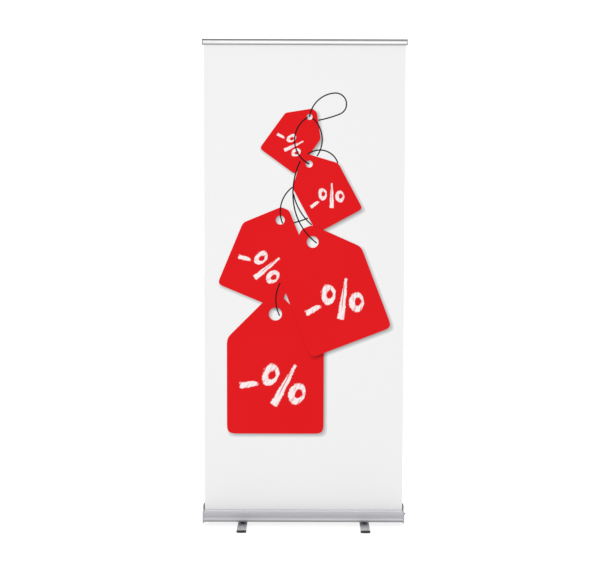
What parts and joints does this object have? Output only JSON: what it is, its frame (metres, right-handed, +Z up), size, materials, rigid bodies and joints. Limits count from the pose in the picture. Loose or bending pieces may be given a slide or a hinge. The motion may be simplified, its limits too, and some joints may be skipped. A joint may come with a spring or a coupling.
{
  "type": "roll-up banner stand",
  "caption": "Roll-up banner stand: a printed film pulled up from a spring roller in an aluminium base, clamped in a top rail on a telescopic pole, on swing-out feet.",
  "frame": {"origin": "on the floor, under the middle of the base and in the plane of the banner", "axes": "+Z up; the printed face of the banner looks along -Y; +X is to the right of someone facing the print"},
  "size_m": [0.8688, 0.324, 2.0683],
  "materials": {
    "anodised_aluminium": "satin anodised extrusion",
    "rail_aluminium": "satin anodised extrusion",
    "pole_aluminium": "drawn tube, satin",
    "grey_plastic": "moulded, fine grain",
    "black_plastic": "moulded, fine grain",
    "white_plastic": "moulded",
    "black_rubber": "soft, matt",
    "zinc_steel": "zinc plated",
    "spring_steel": "oiled spring wire",
    "banner_film": "printed film, matt"
  },
  "bodies": {
    "base": {"base_housing": "anodised_aluminium", "end_cap_left": "grey_plastic", "end_cap_right": "grey_plastic", "cap_screws_left": "zinc_steel", "cap_screws_right": "zinc_steel", "guide_ear_left": "black_plastic", "guide_ear_right": "black_plastic", "pivot_bolts": "zinc_steel", "foot_spacers": "black_plastic", "pivot_nuts": "zinc_steel", "roller_bush": "white_plastic", "lock_pin_bush": "white_plastic", "spring_shaft": "zinc_steel", "spring_hub": "white_plastic", "pole_socket": "black_plastic", "pole_lower": "pole_aluminium"},
    "roller": {"roller_tube": "pole_aluminium", "roller_plug_left": "white_plastic", "roller_plug_right": "white_plastic", "spring_anchor": "white_plastic", "roller_spring": "spring_steel", "banner_roll": "banner_film"},
    "lock_button": {"lock_pin": "zinc_steel", "lock_knob": "black_plastic"},
    "lower_collar": {"lock_collar_lower": "black_plastic"},
    "middle_pole": {"pole_middle": "pole_aluminium", "pole_bush_middle": "white_plastic"},
    "upper_collar": {"lock_collar_upper": "black_plastic"},
    "upper_pole": {"pole_upper": "pole_aluminium", "pole_bush_upper": "white_plastic", "pole_hook": "black_plastic"},
    "top_rail": {"rail_rear_jaw": "rail_aluminium", "rail_grip_strip": "black_rubber", "rail_cap_left": "grey_plastic", "rail_cap_right": "grey_plastic", "rail_cap_screws": "zinc_steel", "banner_film": "banner_film"},
    "front_jaw": {"rail_front_jaw": "rail_aluminium"},
    "left_foot": {"foot_bar_left": "anodised_aluminium", "foot_tips_left": "black_plastic", "foot_pads_left": "black_rubber"},
    "right_foot": {"foot_bar_right": "anodised_aluminium", "foot_tips_right": "black_plastic", "foot_pads_right": "black_rubber"}
  },
  "joints": [
    {"name": "pole_extend", "type": "slide", "parent": "base", "child": "middle_pole", "axis": [0, 0, 1], "range_m": [-0.615, 0], "deforming": ["banner_film"]},
    {"name": "upper_pole_extend", "type": "slide", "parent": "middle_pole", "child": "upper_pole", "axis": [0, 0, 1], "range_m": [-0.615, 0]},
    {"name": "roller_turn", "type": "hinge", "parent": "base", "child": "roller", "pos_m": [0, -0.01505, 0.039], "axis": [1, 0, 0], "range_deg": [-4770.5, 0]},
    {"name": "rail_unhook", "type": "slide", "parent": "upper_pole", "child": "top_rail", "axis": [0, 0, 1], "range_m": [0, 0.025]},
    {"name": "jaw_open", "type": "hinge", "parent": "top_rail", "child": "front_jaw", "pos_m": [0, 0, 2.0648], "axis": [-1, 0, 0], "range_deg": [0, 45]},
    {"name": "lock_press", "type": "slide", "parent": "base", "child": "lock_button", "axis": [-1, 0, 0], "range_m": [0, 0.004]},
    {"name": "lower_collar_turn", "type": "hinge", "parent": "base", "child": "lower_collar", "pos_m": [0, 0.024, 0.73], "axis": [0, 0, 1], "range_deg": [0, 90]},
    {"name": "upper_collar_turn", "type": "hinge", "parent": "middle_pole", "child": "upper_collar", "pos_m": [0, 0.024, 1.38], "axis": [0, 0, 1], "range_deg": [0, 90]},
    {"name": "left_foot_swing", "type": "hinge", "parent": "base", "child": "left_foot", "pos_m": [-0.261, 0, 0.005], "axis": [0, 0, 1], "range_deg": [0, 90]},
    {"name": "right_foot_swing", "type": "hinge", "parent": "base", "child": "right_foot", "pos_m": [0.261, 0, 0.005], "axis": [0, 0, -1], "range_deg": [0, 90]}
  ],
  "couplings": [
    {"joint": "upper_pole_extend", "follows": "pole_extend", "ratio": 1},
    {"joint": "roller_turn", "follows": "pole_extend", "rad_per_m": 135.37}
  ]
}
